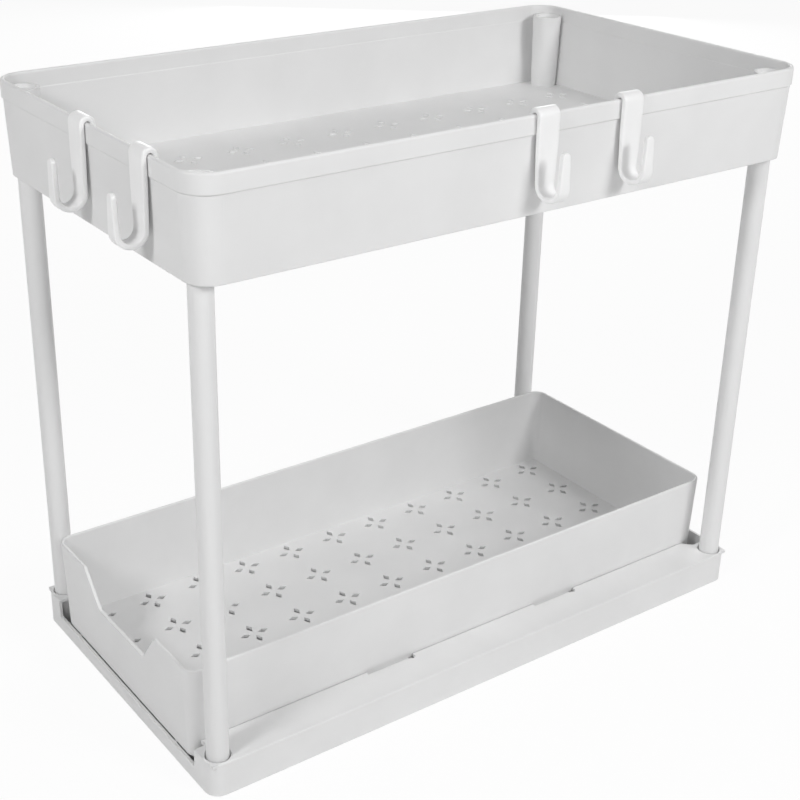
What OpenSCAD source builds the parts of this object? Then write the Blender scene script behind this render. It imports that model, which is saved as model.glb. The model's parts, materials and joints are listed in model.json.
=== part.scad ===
// Two-tier under sink organizer: a low base with a pull-out tray,
// an upper basket on four round posts, and four hooks hung over the basket's rim.
// The long way runs along Y. The tray pulls out towards -Y.

/* [Base] */
// Length of the base, front to rear
base_l = 400; // [320:1:480]
// Width of the base
base_w = 214; // [190:1:260]
// Height of the base's side walls
base_h = 21.3; // [19:0.1:30]
// Thickness of the base's outer walls and of its ledges
base_t = 2; // [1.6:0.1:2.4]
// Thickness of the base's floor
base_floor_t = 2; // [1.6:0.1:3]
// Height of the low front lip that the tray slides over
lip_h = 9.4; // [7:0.1:11]
// Thickness of the runner ribs that carry the tray
runner_t = 2.4; // [1.6:0.1:4]
// Distance from the middle to each runner rib
runner_x = 62; // [40:1:70]
// Rounding along the base's top edges
base_edge_r = 0.7; // [0.3:0.1:0.8]

/* [Ledge notches] */
// Length of each notch in a ledge's inner edge
notch_l = 34; // [31:1:40]
// Depth of each notch
notch_d = 2.8; // [2:0.1:4]
// Place of the front notch along the base, from the middle
notch_front_y = -65; // [-90:1:-50]
// Place of the rear notch along the base, from the middle
notch_rear_y = 64; // [50:1:90]
// How much longer a notch is than the tray's tab that drops through it
notch_play = 3.5; // [2:0.5:6]
// Width of the slot beside the tray in the front wall, where a tab comes out
slot_w = 4.5; // [3.5:0.1:6]
// Length of that slot in the ledge
slot_l = 7; // [5:0.5:10]
// Length of the relief at each ledge's rear end
relief_l = 18; // [12:0.5:22]
// Width of that relief
relief_w = 6; // [4:0.5:7]

/* [Posts] */
// Diameter of a post
post_d = 12.8; // [10:0.1:13.4]
// Wall of a post's tube
post_t = 1.5; // [1:0.1:2.5]
// Wall of the base's socket around a post
socket_t = 2.6; // [2.2:0.1:4]
// Radial clearance of a post in its sockets
post_fit = 0.05; // [0.02:0.01:0.1]
// Flare of each base socket's mouth
mouth_flare = 1; // [0.4:0.1:1.4]
// Depth of that flare
mouth_depth = 3; // [1:0.5:5]

/* [Upper basket] */
// Height of the rim above the surface the organizer stands on
total_h = 351; // [280:1:420]
// Height of the basket
basket_h = 54.3; // [40:0.1:80]
// How far the rim overhangs the base at each side
overhang_x = 6.7; // [5:0.1:12]
// How far the rim overhangs the base at each end
overhang_y = 2; // [1:0.1:8]
// Radius of the rim's corners, seen from above
basket_r = 16; // [13:0.5:22]
// Draft of the basket's wall, rim to floor, on each side
basket_draft = 1.7; // [0.5:0.1:3]
// Height of the thicker band below the rim
band_h = 10.2; // [6:0.1:16]
// How far the band stands out from the wall
band_out = 0.8; // [0.4:0.1:1.5]
// Thickness of the basket's walls
basket_t = 2; // [1.5:0.1:3]
// Thickness of the basket's floor
basket_floor_t = 2.2; // [1.5:0.1:3]
// Depth of the corner bosses' tops below the rim
boss_drop = 5; // [3:0.5:12]
// Radius of a corner boss at its top
boss_top_r = 9.6; // [8.6:0.1:11]
// Radius of a corner boss at the floor
boss_foot_r = 8.4; // [7.6:0.1:9]
// Depth of the shallow cup in a boss's top
boss_cup_d = 2.4; // [1:0.1:4]
// Thickness of the disc under that cup
boss_cap_t = 2; // [1.2:0.1:4]

/* [Pull-out tray] */
// Height of the tray's rim above the surface the organizer stands on
tray_top = 68.7; // [50:0.1:110]
// Gap between the tray and the ledges at each side
tray_gap = 0.5; // [0.3:0.1:1]
// Distance from the base's side to the tray's rim, at each side
tray_inset = 23; // [22:0.5:34]
// Distance from the back of the front lip to the tray's foot
tray_front_gap = 0.4; // [0.3:0.1:1]
// Gap between the tray's rear wall and the base's rear wall
tray_rear_gap = 4.6; // [2:0.1:12]
// Running clearance under the tray
tray_lift = 0.3; // [0.2:0.05:0.6]
// Radius of the tray's corners, seen from above
tray_r = 9; // [6:0.5:14]
// Draft of the tray's wall, rim to floor, on each side
tray_draft = 2; // [0.5:0.1:3]
// Thickness of the tray's walls
tray_t = 2; // [1.5:0.1:3]
// Thickness of the tray's floor
tray_floor_t = 2.2; // [1.5:0.1:3]
// Width of the front cut-out at the tray's rim
cut_top_w = 90; // [60:1:120]
// Width of the front cut-out at its low edge
cut_low_w = 56; // [40:1:56]
// Height of the front cut-out's low edge above the standing surface
cut_low_z = 46.5; // [30:0.5:48]
// Radius of the cut-out's corners
cut_r = 3; // [1:0.5:5]
// How far a tab reaches under the ledge
tab_reach = 2; // [1:0.1:2.4]
// Thickness of a tab
tab_t = 2.4; // [1.6:0.1:3]
// Clearance between a tab's top and the ledge over it
tab_gap = 0.4; // [0.3:0.1:0.8]

/* [Floor openings] */
// Distance between the petal groups along the tray
motif_pitch_y = 35.3; // [30:0.1:42]
// Distance between the petal groups across the tray
motif_pitch_x = 34; // [30:0.1:42]
// Petal groups along the tray
motif_rows = 11; // [3:2:11]
// Petal groups across the tray
motif_cols = 5; // [1:2:5]
// Length of a petal opening
petal_l = 7; // [4:0.1:8]
// Width of a petal opening
petal_w = 4; // [2:0.1:5]
// Distance from a group's middle to each petal's middle
petal_out = 6.2; // [5:0.1:8]

/* [Hooks] */
// Width of a hook's strap
hook_w = 14; // [10:0.5:20]
// Thickness of a hook's strap
hook_t = 3; // [2:0.1:4]
// Width of a hook's strap at its foot
hook_foot_w = 12; // [9:0.5:14]
// Width of a hook's upturned prong
prong_w = 7.3; // [5:0.1:10]
// Height of a hook below the rim
hook_drop = 45; // [30:0.5:50]
// Inner radius of a hook's bottom bend
hook_bend_r = 5.6; // [4:0.1:9]
// Height of the prong's tip above the bottom of the bend
prong_h = 28; // [16:0.5:36]
// Depth of the hook's leg inside the basket
hook_leg = 7; // [4:0.5:12]
// Clearance of a hook around the rim
hook_gap = 0.35; // [0.3:0.05:0.6]
// Places of the front end's hooks across the basket
front_hook_x = [0, 66];
// Places of the long side's hooks along the basket
side_hook_y = [3, 62];

/* [Hidden] */
plastic = [0.88, 0.88, 0.87];
hook_plastic = [0.93, 0.93, 0.93];
$fn = 64;

// Rounds a worked-out size to a tenth of a millimetre.
function tenth(v) = round(v*10)/10;

// The corner sockets are concentric with the base's rounded corners.
base_r = post_d/2 + socket_t;
post_x = base_w/2 - base_r;
post_y = base_l/2 - base_r;

// The basket's frame, from the base's
basket_l = base_l + 2*overhang_y;
basket_w = base_w + 2*overhang_x;
basket_z = total_h - basket_h;
basket_in = band_out + basket_draft;
rim_t = basket_t + band_out - 0.2;
boss_top = basket_h - boss_drop;
post_seat = boss_top - boss_cup_d - boss_cap_t;
post_len = basket_z + post_seat - base_floor_t;

// The tray's frame: its walls lean, and the ledges lie beside it at their own height.
tray_z = lip_h + tray_lift;
tray_h = tray_top - tray_z;
tray_w = base_w - 2*tray_inset;
tray_front = -base_l/2 + base_t + tray_front_gap - tray_draft;
tray_rear = base_l/2 - base_t - tray_rear_gap;
tray_l = tray_rear - tray_front;
tray_y = (tray_rear + tray_front)/2;
ledge_lean = tenth(tray_draft*(tray_top - base_h)/tray_h);
ledge_in = tray_w/2 - ledge_lean + tray_gap;
tab_l = notch_l - notch_play;
tab_z = base_h - base_t - tab_t - tab_gap;
tab_lean = tenth(tray_draft*(tray_top - tab_z)/tray_h);

// A rectangle with round corners, standing from z = 0
module round_slab(l, w, h, r) {
    linear_extrude(h) {
        square([w - 2*r, l], center = true);
        square([w, l - 2*r], center = true);
        for (x = [-1, 1], y = [-1, 1])
            translate([x*(w/2 - r), y*(l/2 - r)]) circle(r);
    }
}

// One straight wall along Y at +X: its section is a 2D child, with x measured
// outward from the line of the corner centres and y as height.
module straight_wall(l, w, r) {
    translate([w/2 - r, l/2 - r, 0])
        rotate([90, 0, 0])
            linear_extrude(l - 2*r) children();
}

// The four round corners of a wall with the same section
module corner_walls(l, w, r) {
    for (k = [0:3]) {
        x = (k == 0 || k == 3) ? w/2 - r : r - w/2;
        y = (k < 2) ? l/2 - r : r - l/2;
        translate([x, y, 0])
            rotate([0, 0, 90*k])
                rotate_extrude(angle = 90) children();
    }
}

// A wall of one section all the way round
module swept_wall(l, w, r) {
    for (a = [0, 180]) {
        rotate([0, 0, a]) straight_wall(l, w, r) children();
        rotate([0, 0, a + 90]) straight_wall(w, l, r) children();
    }
    corner_walls(l, w, r) children();
}

// Section of a leaning wall with a rounded top: foot and rim are the outer face's
// distances, t the thickness, h the height
module leaning_section(foot, rim, t, h) {
    edge = t/2;
    polygon([[foot - t, 0], [foot, 0], [rim, h - edge], [rim - t, h - edge]]);
    translate([rim - edge, h - edge]) circle(edge);
}

// Section of the basket's wall: leaning wall, proud band with a sloped lower edge,
// rounded rim
module basket_section() {
    foot = basket_r - basket_in;
    shoulder = basket_r - band_out;
    edge = rim_t/2;
    leaning_section(foot, shoulder, basket_t, basket_h - band_h + basket_t/2);
    polygon([[basket_r - rim_t, basket_h - band_h], [shoulder - basket_t/2, basket_h - band_h - band_out],
             [shoulder - 0.1, basket_h - band_h - band_out], [basket_r, basket_h - band_h],
             [basket_r, basket_h - edge], [basket_r - rim_t, basket_h - edge]]);
    translate([basket_r - edge, basket_h - edge]) circle(edge);
}

// Section of the tray's wall
module tray_section() {
    leaning_section(tray_r - tray_draft, tray_r, tray_t, tray_h);
}

// Section of the base's wall, with its outer top edge rounded
module base_section(h) {
    translate([base_r - base_t, 0]) {
        square([base_t, h - base_edge_r]);
        square([base_t - base_edge_r, h]);
    }
    translate([base_r - base_edge_r, h - base_edge_r]) circle(base_edge_r);
}

// One group of four petal openings, cut to the given depth
module petal_group(depth) {
    for (a = [0:90:270])
        rotate([0, 0, a])
            translate([petal_out, 0, 0])
                linear_extrude(depth)
                    polygon([[-petal_l/2, 0], [0, -petal_w/2], [petal_l/2, 0], [0, petal_w/2]]);
}

// The grid of petal groups through a floor of the given thickness
module floor_openings(floor_t) {
    for (i = [0:motif_cols - 1], j = [0:motif_rows - 1])
        translate([(i - (motif_cols - 1)/2)*motif_pitch_x,
                   (j - (motif_rows - 1)/2)*motif_pitch_y, -1])
            petal_group(floor_t + 2);
}

// Places its child at each of the four posts
module at_posts() {
    for (x = [-1, 1], y = [-1, 1])
        translate([x*post_x, y*post_y, 0]) children();
}

// The side ledge at +X, seen from above: a flat plate from beside the tray into the side
// wall, with two notches in its inner edge, the front slot and the rear relief
module ledge_outline() {
    into_wall = base_t*0.6;
    hole_r = base_t/2;
    rear = base_l/2 - base_t;
    past = rear + base_t/2;
    difference() {
        translate([ledge_in, into_wall - base_l/2])
            square([base_w/2 - into_wall - ledge_in, base_l - 2*into_wall]);
        for (y = [notch_front_y, notch_rear_y])
            translate([ledge_in - 1, y - notch_l/2]) {
                square([notch_d + 1, notch_l]);
                translate([notch_d + 1, notch_l - 2*hole_r]) circle(hole_r);
            }
        translate([ledge_in - 1, -base_l/2]) square([slot_w + 1, slot_l]);
        polygon([[ledge_in - 1, rear - relief_l - 1], [ledge_in + relief_w, rear - relief_l + relief_w],
                 [ledge_in + relief_w, past], [ledge_in - 1, past]]);
    }
}
module ledge() {
    translate([0, 0, base_h - base_t]) linear_extrude(base_t) ledge_outline();
}

// A post's hole with its flared mouth, as one turned shape
module socket_hole() {
    r = post_d/2 + post_fit;
    mouth_r = post_d/2 + mouth_flare;
    rotate_extrude()
        polygon([[0, base_floor_t], [r, base_floor_t], [r, base_h - mouth_depth],
                 [mouth_r, base_h], [mouth_r, base_h + 1], [0, base_h + 1]]);
}

// The front wall beside the socket at +X, as high as the sides as far as the slot
module front_cheek() {
    translate([post_x, base_r - base_l/2, 0])
        rotate([90, 0, -90])
            linear_extrude(post_x - ledge_in - slot_w) base_section(base_h);
}

module base() {
    color(plastic)
    difference() {
        union() {
            round_slab(base_l - base_t, base_w - base_t, base_floor_t, base_r - base_t/2);
            corner_walls(base_l, base_w, base_r) base_section(base_h);
            for (a = [0, 180]) rotate([0, 0, a]) straight_wall(base_l, base_w, base_r) base_section(base_h);
            rotate([0, 0, 90]) straight_wall(base_w, base_l, base_r) base_section(base_h);
            rotate([0, 0, -90]) straight_wall(base_w, base_l, base_r) base_section(lip_h);
            front_cheek();
            mirror([1, 0, 0]) front_cheek();
            ledge();
            mirror([1, 0, 0]) ledge();
            at_posts() cylinder(r = base_r - base_t*0.4, h = base_h);
            for (x = [-runner_x, runner_x])
                translate([x - runner_t/2, -base_l/2 + base_t/2, 0])
                    cube([runner_t, base_l - base_t, lip_h]);
        }
        at_posts() socket_hole();
    }
}

module post(x, y) {
    color(plastic)
    translate([x*post_x, y*post_y, base_floor_t])
        difference() {
            cylinder(d = post_d, h = post_len);
            translate([0, 0, -1]) cylinder(d = post_d - 2*post_t, h = post_len + 2);
        }
}
module post_front_left() { post(-1, -1); }
module post_front_right() { post(1, -1); }
module post_rear_left() { post(-1, 1); }
module post_rear_right() { post(1, 1); }

module upper_basket() {
    color(plastic)
    translate([0, 0, basket_z])
        difference() {
            union() {
                difference() {
                    round_slab(basket_l - 2*basket_in - basket_t, basket_w - 2*basket_in - basket_t,
                               basket_floor_t, basket_r - basket_in - basket_t/2);
                    floor_openings(basket_floor_t);
                }
                swept_wall(basket_l, basket_w, basket_r) basket_section();
                at_posts() cylinder(r1 = boss_foot_r, r2 = boss_top_r, h = boss_top);
            }
            at_posts() {
                translate([0, 0, -1]) cylinder(r = post_d/2 + post_fit, h = post_seat + 1);
                translate([0, 0, boss_top - boss_cup_d])
                    cylinder(r = boss_foot_r - 0.4, h = boss_cup_d + 1);
            }
        }
}

// Points of an arc about c, from angle a0 to a1
function arc(c, r, a0, a1) = [for (i = [0:6]) c + r*[cos(a0 + (a1 - a0)*i/6), sin(a0 + (a1 - a0)*i/6)]];

// Right half of the front cut-out's outline, from its low edge up past the rim. Both
// corners are round.
function cut_out_half() =
    let (rise = tray_top - cut_low_z,
         lean = atan2(rise, (cut_top_w - cut_low_w)/2),
         back = cut_r*tan(lean/2))
    concat(arc([cut_low_w/2 - back, cut_low_z + cut_r], cut_r, -90, lean - 90),
           arc([cut_top_w/2 + back, tray_top + 0.3 - cut_r], cut_r, lean + 90, 90),
           [[cut_top_w/2 + back, tray_top + 2]]);

// The front cut-out, through the tray's front wall
module tray_cut_out() {
    right = cut_out_half();
    left = [for (i = [len(right) - 1:-1:0]) [-right[i][0], right[i][1]]];
    translate([0, tray_front + tray_draft + tray_t + 1, 0])
        rotate([90, 0, 0])
            linear_extrude(tray_draft + tray_t + 3) polygon(concat(right, left));
}

// The two tabs at +X. They drop through the ledge's notches, then run under the ledge
// as the tray is pulled and keep it from tipping out.
module side_tabs() {
    from = tray_w/2 - tab_lean - tray_t/2;
    for (y = [notch_front_y, notch_rear_y])
        translate([from, y - notch_l/2 + 0.5, tab_z])
            cube([ledge_in + tab_reach - from, tab_l, tab_t]);
}

module pull_out_tray() {
    color(plastic)
    difference() {
        union() {
            translate([0, tray_y, tray_z]) {
                difference() {
                    round_slab(tray_l - 2*tray_draft - tray_t, tray_w - 2*tray_draft - tray_t,
                               tray_floor_t, tray_r - tray_draft - tray_t/2);
                    floor_openings(tray_floor_t);
                }
                swept_wall(tray_l, tray_w, tray_r) tray_section();
            }
            side_tabs();
            mirror([1, 0, 0]) side_tabs();
        }
        tray_cut_out();
    }
}

// Side view of a hook: x is outward from the rim's outer face, y is height above the rim
module hook_side() {
    in_face = -rim_t - hook_gap;
    bend_in = hook_gap;
    bridge_r = (rim_t + 2*hook_gap)/2;
    bend_x = hook_gap + hook_t + hook_bend_r;
    bend_y = -hook_drop + hook_t + hook_bend_r;
    tip_y = -hook_drop + prong_h;
    // leg inside the basket and strap outside it
    translate([in_face - hook_t, -hook_leg]) square([hook_t, hook_leg + hook_gap - bridge_r]);
    translate([bend_in, bend_y]) square([hook_t, -bend_y + hook_gap - bridge_r]);
    // bend over the rim
    translate([(in_face + bend_in)/2, hook_gap - bridge_r])
        intersection() {
            difference() {
                circle(bridge_r + hook_t);
                circle(bridge_r);
            }
            translate([-50, 0]) square([100, 50]);
        }
    // bottom bend
    translate([bend_x, bend_y])
        intersection() {
            difference() {
                circle(hook_bend_r + hook_t);
                circle(hook_bend_r);
            }
            translate([-50, -50]) square([100, 50]);
        }
    // upturned prong with a round tip
    translate([bend_x + hook_bend_r, bend_y]) square([hook_t, tip_y - bend_y - hook_t/2]);
    translate([bend_x + hook_bend_r + hook_t/2, tip_y - hook_t/2]) circle(hook_t/2);
}

// One hook with the rim's outer face at x = 0 and the rim's top at z = 0. It narrows
// a little down the strap, and through the bottom bend to the prong's width.
module hook() {
    reach = 2*(hook_t + hook_bend_r) + hook_gap;
    strap_face = hook_gap + hook_t;
    back = -rim_t - hook_gap - hook_t - 1;
    taper_z = prong_h - hook_drop;
    color(hook_plastic)
    intersection() {
        rotate([90, 0, 0])
            translate([0, 0, -hook_w/2 - 1])
                linear_extrude(hook_w + 2) hook_side();
        translate([0, 0, -hook_drop - 1])
            linear_extrude(hook_drop + hook_t + 5)
                polygon([[back, -hook_w/2 - 1], [strap_face, -hook_w/2 - 1],
                         [reach - hook_t, -prong_w/2], [reach + 1, -prong_w/2],
                         [reach + 1, prong_w/2], [reach - hook_t, prong_w/2],
                         [strap_face, hook_w/2 + 1], [back, hook_w/2 + 1]]);
        translate([back, 0, 0])
            rotate([90, 0, 90])
                linear_extrude(reach - back + 1)
                    polygon([[-hook_w/2, hook_t + 1], [-hook_w/2, taper_z],
                             [-hook_foot_w/2, hook_bend_r - hook_drop], [-hook_foot_w/2, -hook_drop - 1],
                             [hook_foot_w/2, -hook_drop - 1], [hook_foot_w/2, hook_bend_r - hook_drop],
                             [hook_w/2, taper_z], [hook_w/2, hook_t + 1]]);
    }
}

module front_hook(x) {
    translate([x, -basket_l/2, total_h]) rotate([0, 0, -90]) hook();
}
module side_hook(y) {
    translate([basket_w/2, y, total_h]) hook();
}
module hook_front_left() { front_hook(front_hook_x[0]); }
module hook_front_right() { front_hook(front_hook_x[1]); }
module hook_side_front() { side_hook(side_hook_y[0]); }
module hook_side_rear() { side_hook(side_hook_y[1]); }

base();
post_front_left();
post_front_right();
post_rear_left();
post_rear_right();
upper_basket();
pull_out_tray();
hook_front_left();
hook_front_right();
hook_side_front();
hook_side_rear();
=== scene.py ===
import json
import math

import bmesh
import bpy
from mathutils import Matrix, Vector


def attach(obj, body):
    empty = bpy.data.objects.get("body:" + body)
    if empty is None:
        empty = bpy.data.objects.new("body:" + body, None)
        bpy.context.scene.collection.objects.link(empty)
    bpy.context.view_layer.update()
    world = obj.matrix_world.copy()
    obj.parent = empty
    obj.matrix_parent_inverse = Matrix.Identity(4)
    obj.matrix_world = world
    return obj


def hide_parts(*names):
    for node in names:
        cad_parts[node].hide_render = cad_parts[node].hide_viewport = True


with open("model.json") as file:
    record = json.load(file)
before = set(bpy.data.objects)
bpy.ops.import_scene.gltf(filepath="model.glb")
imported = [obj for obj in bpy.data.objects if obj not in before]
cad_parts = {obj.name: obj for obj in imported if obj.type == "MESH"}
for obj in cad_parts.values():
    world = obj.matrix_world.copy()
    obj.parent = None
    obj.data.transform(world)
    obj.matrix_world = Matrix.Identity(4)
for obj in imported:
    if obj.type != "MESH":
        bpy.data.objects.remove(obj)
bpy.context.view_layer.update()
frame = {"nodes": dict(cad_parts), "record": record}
scene = bpy.context.scene
print("frame loaded:", len(frame["nodes"]), "nodes")


# Materials. Every plastic reads Object coordinates, which are the row frame in metres.

def addNode(tree, kind, **values):
    node = tree.nodes.new(kind)
    for name, value in values.items():
        if name in node.inputs:
            node.inputs[name].default_value = value
        else:
            setattr(node, name, value)
    return node


def noiseOn(tree, coords, scale, detail, stretch=None):
    noise = addNode(tree, "ShaderNodeTexNoise", Scale=scale, Detail=detail)
    if stretch:
        mapping = addNode(tree, "ShaderNodeMapping", Scale=stretch)
        tree.links.new(coords, mapping.inputs["Vector"])
        tree.links.new(mapping.outputs["Vector"], noise.inputs["Vector"])
    else:
        tree.links.new(coords, noise.inputs["Vector"])
    return noise.outputs["Fac"]


def mixedColour(tree, factor, look):
    ramp = addNode(tree, "ShaderNodeValToRGB")
    low, high = ramp.color_ramp.elements
    low.position, high.position = look["flowEnds"]
    low.color = (*look["deep"], 1)
    high.color = (*look["pale"], 1)
    tree.links.new(factor, ramp.inputs["Fac"])
    return ramp.outputs["Color"]


def mouldedPlastic(name, look):
    material = bpy.data.materials.new(name)
    material.use_nodes = True
    tree = material.node_tree
    tree.nodes.clear()
    coords = addNode(tree, "ShaderNodeTexCoord").outputs["Object"]
    shader = addNode(tree, "ShaderNodeBsdfPrincipled")
    output = addNode(tree, "ShaderNodeOutputMaterial")
    tree.links.new(shader.outputs["BSDF"], output.inputs["Surface"])
    shader.inputs["IOR"].default_value = look["ior"]
    shader.inputs["Specular IOR Level"].default_value = look["gloss"]

    # soft clouds of tone from the resin's flow
    flow = noiseOn(tree, coords, look["flowScale"], look["flowDetail"], look["stretch"])
    tree.links.new(mixedColour(tree, flow, look), shader.inputs["Base Color"])

    # satin patches
    patches = noiseOn(tree, coords, look["patchScale"], look["patchDetail"], look["stretch"])
    rough = addNode(tree, "ShaderNodeMapRange")
    rough.inputs["To Min"].default_value = look["roughness"] - look["roughSpread"]
    rough.inputs["To Max"].default_value = look["roughness"] + look["roughSpread"]
    tree.links.new(patches, rough.inputs["Value"])
    tree.links.new(rough.outputs["Result"], shader.inputs["Roughness"])

    # softened edges, a slow waviness of the wall, and the mould's fine grain over both
    grain = noiseOn(tree, coords, look["grainScale"], look["grainDetail"], look["stretch"])
    wave = noiseOn(tree, coords, look["waveScale"], look["waveDetail"])
    grainBump = addNode(tree, "ShaderNodeBump", Strength=look["grainStrength"],
                        Distance=look["grainDepth"])
    waveBump = addNode(tree, "ShaderNodeBump", Strength=look["waveStrength"],
                       Distance=look["waveDepth"])
    softEdge = addNode(tree, "ShaderNodeBevel", Radius=look["edgeRadius"],
                       samples=look["edgeSamples"])
    tree.links.new(softEdge.outputs["Normal"], waveBump.inputs["Normal"])
    tree.links.new(wave, waveBump.inputs["Height"])
    tree.links.new(grain, grainBump.inputs["Height"])
    tree.links.new(waveBump.outputs["Normal"], grainBump.inputs["Normal"])
    tree.links.new(grainBump.outputs["Normal"], shader.inputs["Normal"])
    return material


satinLook = {
    "deep": (0.77, 0.77, 0.77), "pale": (0.8, 0.8, 0.8), "ior": 1.49,
    "gloss": 0.4, "roughness": 0.48, "roughSpread": 0.06,
    "flowScale": 26.0, "flowDetail": 3.0, "flowEnds": (0.36, 0.64),
    "patchScale": 90.0, "patchDetail": 4.0, "stretch": None,
    "grainScale": 1400.0, "grainDetail": 2.0, "grainStrength": 0.25, "grainDepth": 0.0001,
    "waveScale": 34.0, "waveDetail": 1.0, "waveStrength": 0.3, "waveDepth": 0.0004,
    "edgeRadius": 0.0005, "edgeSamples": 6,
}
trayLook = {**satinLook, "flowScale": 22.0}
basketLook = {**satinLook, "flowScale": 18.0}
postLook = {    # drawn tube: its marks run lengthways
    **satinLook, "stretch": (1.0, 1.0, 0.05), "roughness": 0.42, "grainScale": 1800.0,
}
hookLook = {
    **satinLook, "deep": (0.87, 0.87, 0.87), "pale": (0.9, 0.9, 0.9),
    "gloss": 0.5, "roughness": 0.3, "roughSpread": 0.04, "grainStrength": 0.1,
}

plastics = {
    "base_plastic": mouldedPlastic("basePlastic", satinLook),
    "post_plastic": mouldedPlastic("postPlastic", postLook),
    "basket_plastic": mouldedPlastic("basketPlastic", basketLook),
    "tray_plastic": mouldedPlastic("trayPlastic", trayLook),
    "hook_plastic": mouldedPlastic("hookPlastic", hookLook),
}
for part in frame["record"]["subparts"]:
    node = frame["nodes"][part["node"]]
    for materialSlot in node.material_slots:
        materialSlot.material = plastics[part["material_slot"]]
print("plastics made:", len(plastics))


# Hooks

hook = {
    "rimOut": 0.1137,         # the long side's rim, from the middle
    "rimFront": 0.202,        # the front end's rim, from the middle
    "rimTop": 0.351,
    "rimThick": 0.0026,
    "clear": 0.00035,         # gap to the rim
    "thick": 0.003,
    "strapWidth": 0.014,
    "footWidth": 0.0118,
    "prongWidth": 0.0073,
    "tipWidth": 0.0052,
    "drop": 0.045,
    "prongLength": 0.028,
    "bend": 0.0056,           # inner radius of the bottom bend
    "leg": 0.007,
    "edge": 0.0009,           # rounding of the long edges
    "edgeCuts": 2,
    "widthCuts": 5,
    "cap": 0.0006,            # first step, which keeps the leg's end crisp
    "legSteps": 3,
    "bridgeSteps": 14,
    "strapSteps": 8,
    "footSteps": 9,
    "bendSteps": 20,
    "prongSteps": 9,
    "domeSteps": 7,
    "domeReach": 0.96,        # how near the dome comes to a full quarter turn
    "domeThin": 0.45,         # what is left of the thickness at the tip
}
hooksHung = {                 # name: node, body, place along the rim, on the front end or not
    "hook_end_left": ("hook_front_left", "front_left_hook", 0.0, True),
    "hook_end_right": ("hook_front_right", "front_right_hook", 0.066, True),
    "hook_long_front": ("hook_side_front", "side_front_hook", 0.003, False),
    "hook_long_rear": ("hook_side_rear", "side_rear_hook", 0.062, False),
}


def extrudeOnce(bm, face):
    grown = bmesh.ops.extrude_face_region(bm, geom=[face])
    return next(g for g in grown["geom"] if isinstance(g, bmesh.types.BMFace))


def widen(face, width):
    # the hook's width runs along Y while it is made
    now = max(v.co.y for v in face.verts)
    for v in face.verts:
        v.co.y *= width/2/now


def turn(bm, face, centre, angle, steps, widths):
    stepTurn = Matrix.Rotation(angle/steps, 3, "Y")
    for k in range(steps):
        share = (k + 1)/steps
        ease = share*share*(3 - 2*share)
        face = extrudeOnce(bm, face)
        bmesh.ops.rotate(bm, verts=face.verts, cent=centre, matrix=stepTurn)
        widen(face, widths[0] + (widths[1] - widths[0])*ease)
    return face


def run(bm, face, dz, steps, widths):
    for k in range(steps):
        face = extrudeOnce(bm, face)
        bmesh.ops.translate(bm, verts=face.verts, vec=(0, 0, dz/steps))
        widen(face, widths[0] + (widths[1] - widths[0])*(k + 1)/steps)
    return face


def hookSection(bm):
    # a rounded rectangle, square to Z, where the inner leg ends
    bmesh.ops.create_grid(bm, x_segments=1, y_segments=1, size=0.5)
    bmesh.ops.scale(bm, verts=bm.verts, vec=(hook["thick"], hook["strapWidth"], 1))
    bmesh.ops.bevel(bm, geom=list(bm.verts), affect="VERTICES", offset=hook["edge"],
                    segments=hook["edgeCuts"], profile=0.5, material=-1)
    longEdges = [e for e in bm.edges if e.calc_length() > hook["strapWidth"]/2]
    bmesh.ops.subdivide_edges(bm, edges=longEdges, cuts=hook["widthCuts"])
    bmesh.ops.dissolve_faces(bm, faces=bm.faces[:])
    legX = -hook["rimThick"] - hook["clear"] - hook["thick"]/2
    bmesh.ops.translate(bm, verts=bm.verts, vec=(legX, 0, -hook["leg"]))
    return bm.faces[:][0]


def makeDome(bm, face):
    tip = hook["tipWidth"]
    thin = hook["domeThin"]
    steps = hook["domeSteps"]
    for k in range(steps):
        a, b = (math.pi/2*hook["domeReach"]*n/steps for n in (k, k + 1))
        face = run(bm, face, tip/2*(math.sin(b) - math.sin(a)), 1, (tip, tip*math.cos(b)))
        slim = (thin + (1 - thin)*math.cos(b))/(thin + (1 - thin)*math.cos(a))
        middle = face.calc_center_median()
        for v in face.verts:
            v.co.x = middle.x + (v.co.x - middle.x)*slim


def makeHook(name):
    # made with the rim's outer face at x = 0 and its top at z = 0
    midRim = -hook["rimThick"]/2
    bendX = hook["clear"] + hook["thick"] + hook["bend"]
    bendZ = -hook["drop"] + hook["thick"] + hook["bend"]
    tipZ = -hook["drop"] + hook["prongLength"]
    strap, foot, prong, tip = (hook[k] for k in ("strapWidth", "footWidth", "prongWidth", "tipWidth"))

    bm = bmesh.new()
    face = hookSection(bm)
    face = run(bm, face, hook["cap"], 1, (strap, strap))
    face = run(bm, face, hook["leg"] + midRim - hook["cap"], hook["legSteps"], (strap, strap))
    face = turn(bm, face, (midRim, 0, midRim), math.pi, hook["bridgeSteps"], (strap, strap))
    face = run(bm, face, tipZ - midRim, hook["strapSteps"], (strap, strap))
    face = run(bm, face, bendZ - tipZ, hook["footSteps"], (strap, foot))
    face = turn(bm, face, (bendX, 0, bendZ), -math.pi, hook["bendSteps"], (foot, prong))
    face = run(bm, face, tipZ - tip/2 - bendZ, hook["prongSteps"], (prong, tip))
    makeDome(bm, face)

    inner = [f for f in bm.faces if all(len(e.link_faces) > 2 for e in f.edges)]
    bmesh.ops.delete(bm, geom=inner, context="FACES_ONLY")    # each extrusion left its first face inside
    bmesh.ops.recalc_face_normals(bm, faces=bm.faces)
    for f in bm.faces:
        f.smooth = True
    mesh = bpy.data.meshes.new(name)
    bm.to_mesh(mesh)
    bm.free()
    piece = bpy.data.objects.new(name, mesh)
    rounding = piece.modifiers.new("rounding", "SUBSURF")
    rounding.levels = 1
    rounding.render_levels = 1
    return piece


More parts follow.
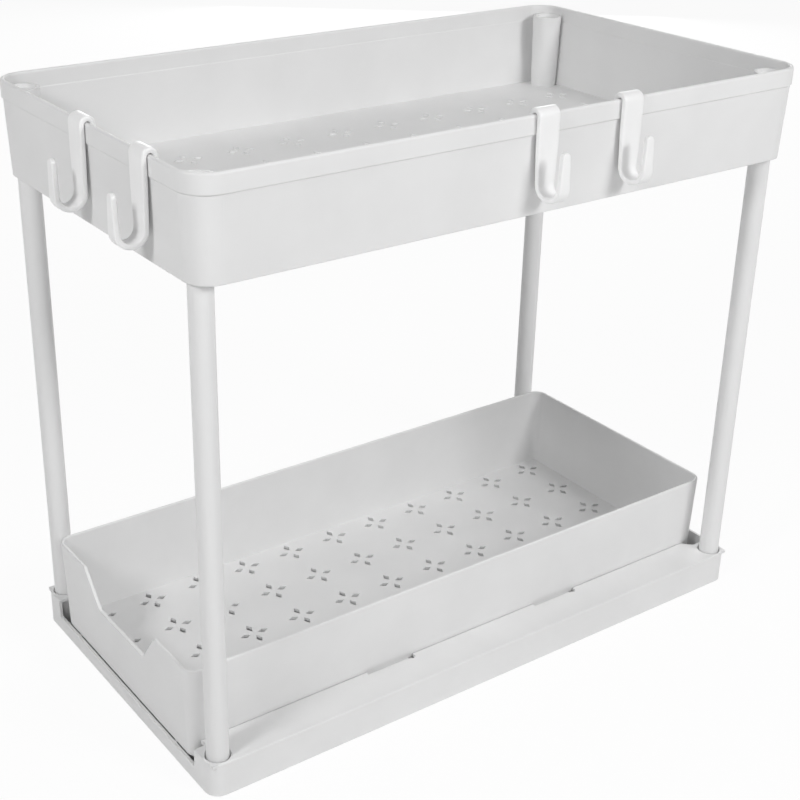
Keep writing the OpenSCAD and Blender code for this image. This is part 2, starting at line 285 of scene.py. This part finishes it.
def hangHook(name, node, body, along, onFront):
    piece = makeHook(name)
    if onFront:
        quarterTurn = Matrix.Rotation(-math.pi/2, 4, "Z")
        place = Matrix.Translation((along, -hook["rimFront"], hook["rimTop"])) @ quarterTurn
    else:
        place = Matrix.Translation((hook["rimOut"], along, hook["rimTop"]))
    piece.data.transform(place)
    piece.data.materials.append(plastics["hook_plastic"])
    scene.collection.objects.link(piece)
    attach(piece, body)
    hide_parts(node)


for name, hanging in hooksHung.items():
    hangHook(name, *hanging)
print("hooks hung:", len(hooksHung))


# Floor, world, lamps and camera

studio = {
    "floorSize": 12.0,
    "floorTone": 0.9,
    "floorGap": 0.0002,       # keeps the floor just under the base
    "floorShow": 0.94,        # how far the floor's own white covers its shadows
    "skyStrength": 0.24,
    "middle": (0, 0, 0.17),   # what the lamps point at
}
lamps = {                     # name: place, size, power
    "keyLamp": ((1.37, 0.45, 1.10), 0.55, 12.2),     # lights the long side
    "endLamp": ((0.38, -1.30, 1.15), 0.4, 8.6),      # lights the front end
    "topLamp": ((0, 0, 2.2), 1.8, 0.3),
    "backLamp": ((-1.5, 1.2, 0.55), 1.4, 13.0),      # lights the sides that the photo does not show
    "fillLamp": ((1.5, -1.1, 0.7), 1.2, 2.5),        # from the camera's side
}
photoView = {
    "sensor": 36, "lens": 65.81, "shift": (0.05, -0.02), "reach": (0.05, 50),
    "place": (0.65827, -0.49443, 0.53986), "turn": (64.935, -0.657, 55.149),
}


def shownRays(tree):
    # 1 for the rays that show the background itself: straight, in gloss or through glass
    rays = addNode(tree, "ShaderNodeLightPath")
    straightOrGloss = addNode(tree, "ShaderNodeMath", operation="MAXIMUM")
    anyShown = addNode(tree, "ShaderNodeMath", operation="MAXIMUM")
    tree.links.new(rays.outputs["Is Camera Ray"], straightOrGloss.inputs[0])
    tree.links.new(rays.outputs["Is Glossy Ray"], straightOrGloss.inputs[1])
    tree.links.new(straightOrGloss.outputs[0], anyShown.inputs[0])
    tree.links.new(rays.outputs["Is Transmission Ray"], anyShown.inputs[1])
    return anyShown.outputs[0]


def makeFloor():
    bm = bmesh.new()
    bmesh.ops.create_grid(bm, x_segments=1, y_segments=1, size=studio["floorSize"]/2)
    bmesh.ops.translate(bm, verts=bm.verts, vec=(0, 0, -studio["floorGap"]))
    mesh = bpy.data.meshes.new("floor")
    bm.to_mesh(mesh)
    bm.free()
    floor = bpy.data.objects.new("floor", mesh)
    scene.collection.objects.link(floor)
    material = bpy.data.materials.new("paleFloor")
    material.use_nodes = True
    tree = material.node_tree
    tree.nodes.clear()
    tone = studio["floorTone"]
    matt = addNode(tree, "ShaderNodeBsdfDiffuse", Color=(tone, tone, tone, 1))
    glow = addNode(tree, "ShaderNodeEmission", Color=(1, 1, 1, 1), Strength=1.0)
    share = addNode(tree, "ShaderNodeMath", operation="MULTIPLY")
    share.inputs[1].default_value = studio["floorShow"]
    mix = addNode(tree, "ShaderNodeMixShader")
    output = addNode(tree, "ShaderNodeOutputMaterial")
    tree.links.new(shownRays(tree), share.inputs[0])
    tree.links.new(share.outputs[0], mix.inputs["Fac"])
    tree.links.new(matt.outputs[0], mix.inputs[1])
    tree.links.new(glow.outputs[0], mix.inputs[2])
    tree.links.new(mix.outputs[0], output.inputs["Surface"])
    mesh.materials.append(material)


def makeWorld():
    world = bpy.data.worlds.new("studio")
    scene.world = world
    world.use_nodes = True
    tree = world.node_tree
    tree.nodes.clear()
    sky = addNode(tree, "ShaderNodeBackground", Color=(1, 1, 1, 1), Strength=studio["skyStrength"])
    backdrop = addNode(tree, "ShaderNodeBackground", Color=(1, 1, 1, 1), Strength=1.0)
    mix = addNode(tree, "ShaderNodeMixShader")
    output = addNode(tree, "ShaderNodeOutputWorld")
    tree.links.new(shownRays(tree), mix.inputs["Fac"])
    tree.links.new(sky.outputs[0], mix.inputs[1])
    tree.links.new(backdrop.outputs[0], mix.inputs[2])
    tree.links.new(mix.outputs[0], output.inputs["Surface"])


def addLamp(name, place, size, power):
    lamp = bpy.data.lights.new(name, "AREA")
    lamp.shape = "DISK"
    lamp.size = size
    lamp.energy = power
    holder = bpy.data.objects.new(name, lamp)
    holder.location = place
    aim = Vector(studio["middle"]) - Vector(place)
    holder.rotation_euler = aim.to_track_quat("-Z", "Y").to_euler()
    scene.collection.objects.link(holder)


def addCamera():
    lens = bpy.data.cameras.new("photoCamera")
    lens.sensor_width = photoView["sensor"]
    lens.lens = photoView["lens"]
    lens.shift_x, lens.shift_y = photoView["shift"]
    lens.clip_start, lens.clip_end = photoView["reach"]
    camera = bpy.data.objects.new("photoCamera", lens)
    camera.location = photoView["place"]
    camera.rotation_euler = [math.radians(a) for a in photoView["turn"]]
    scene.collection.objects.link(camera)
    bpy.context.scene.camera = camera


makeFloor()
makeWorld()
for name, lampSettings in lamps.items():
    addLamp(name, *lampSettings)
print("studio lit:", len(lamps), "lamps")

addCamera()
scene.view_settings.view_transform = "Standard"

print("scene ready")
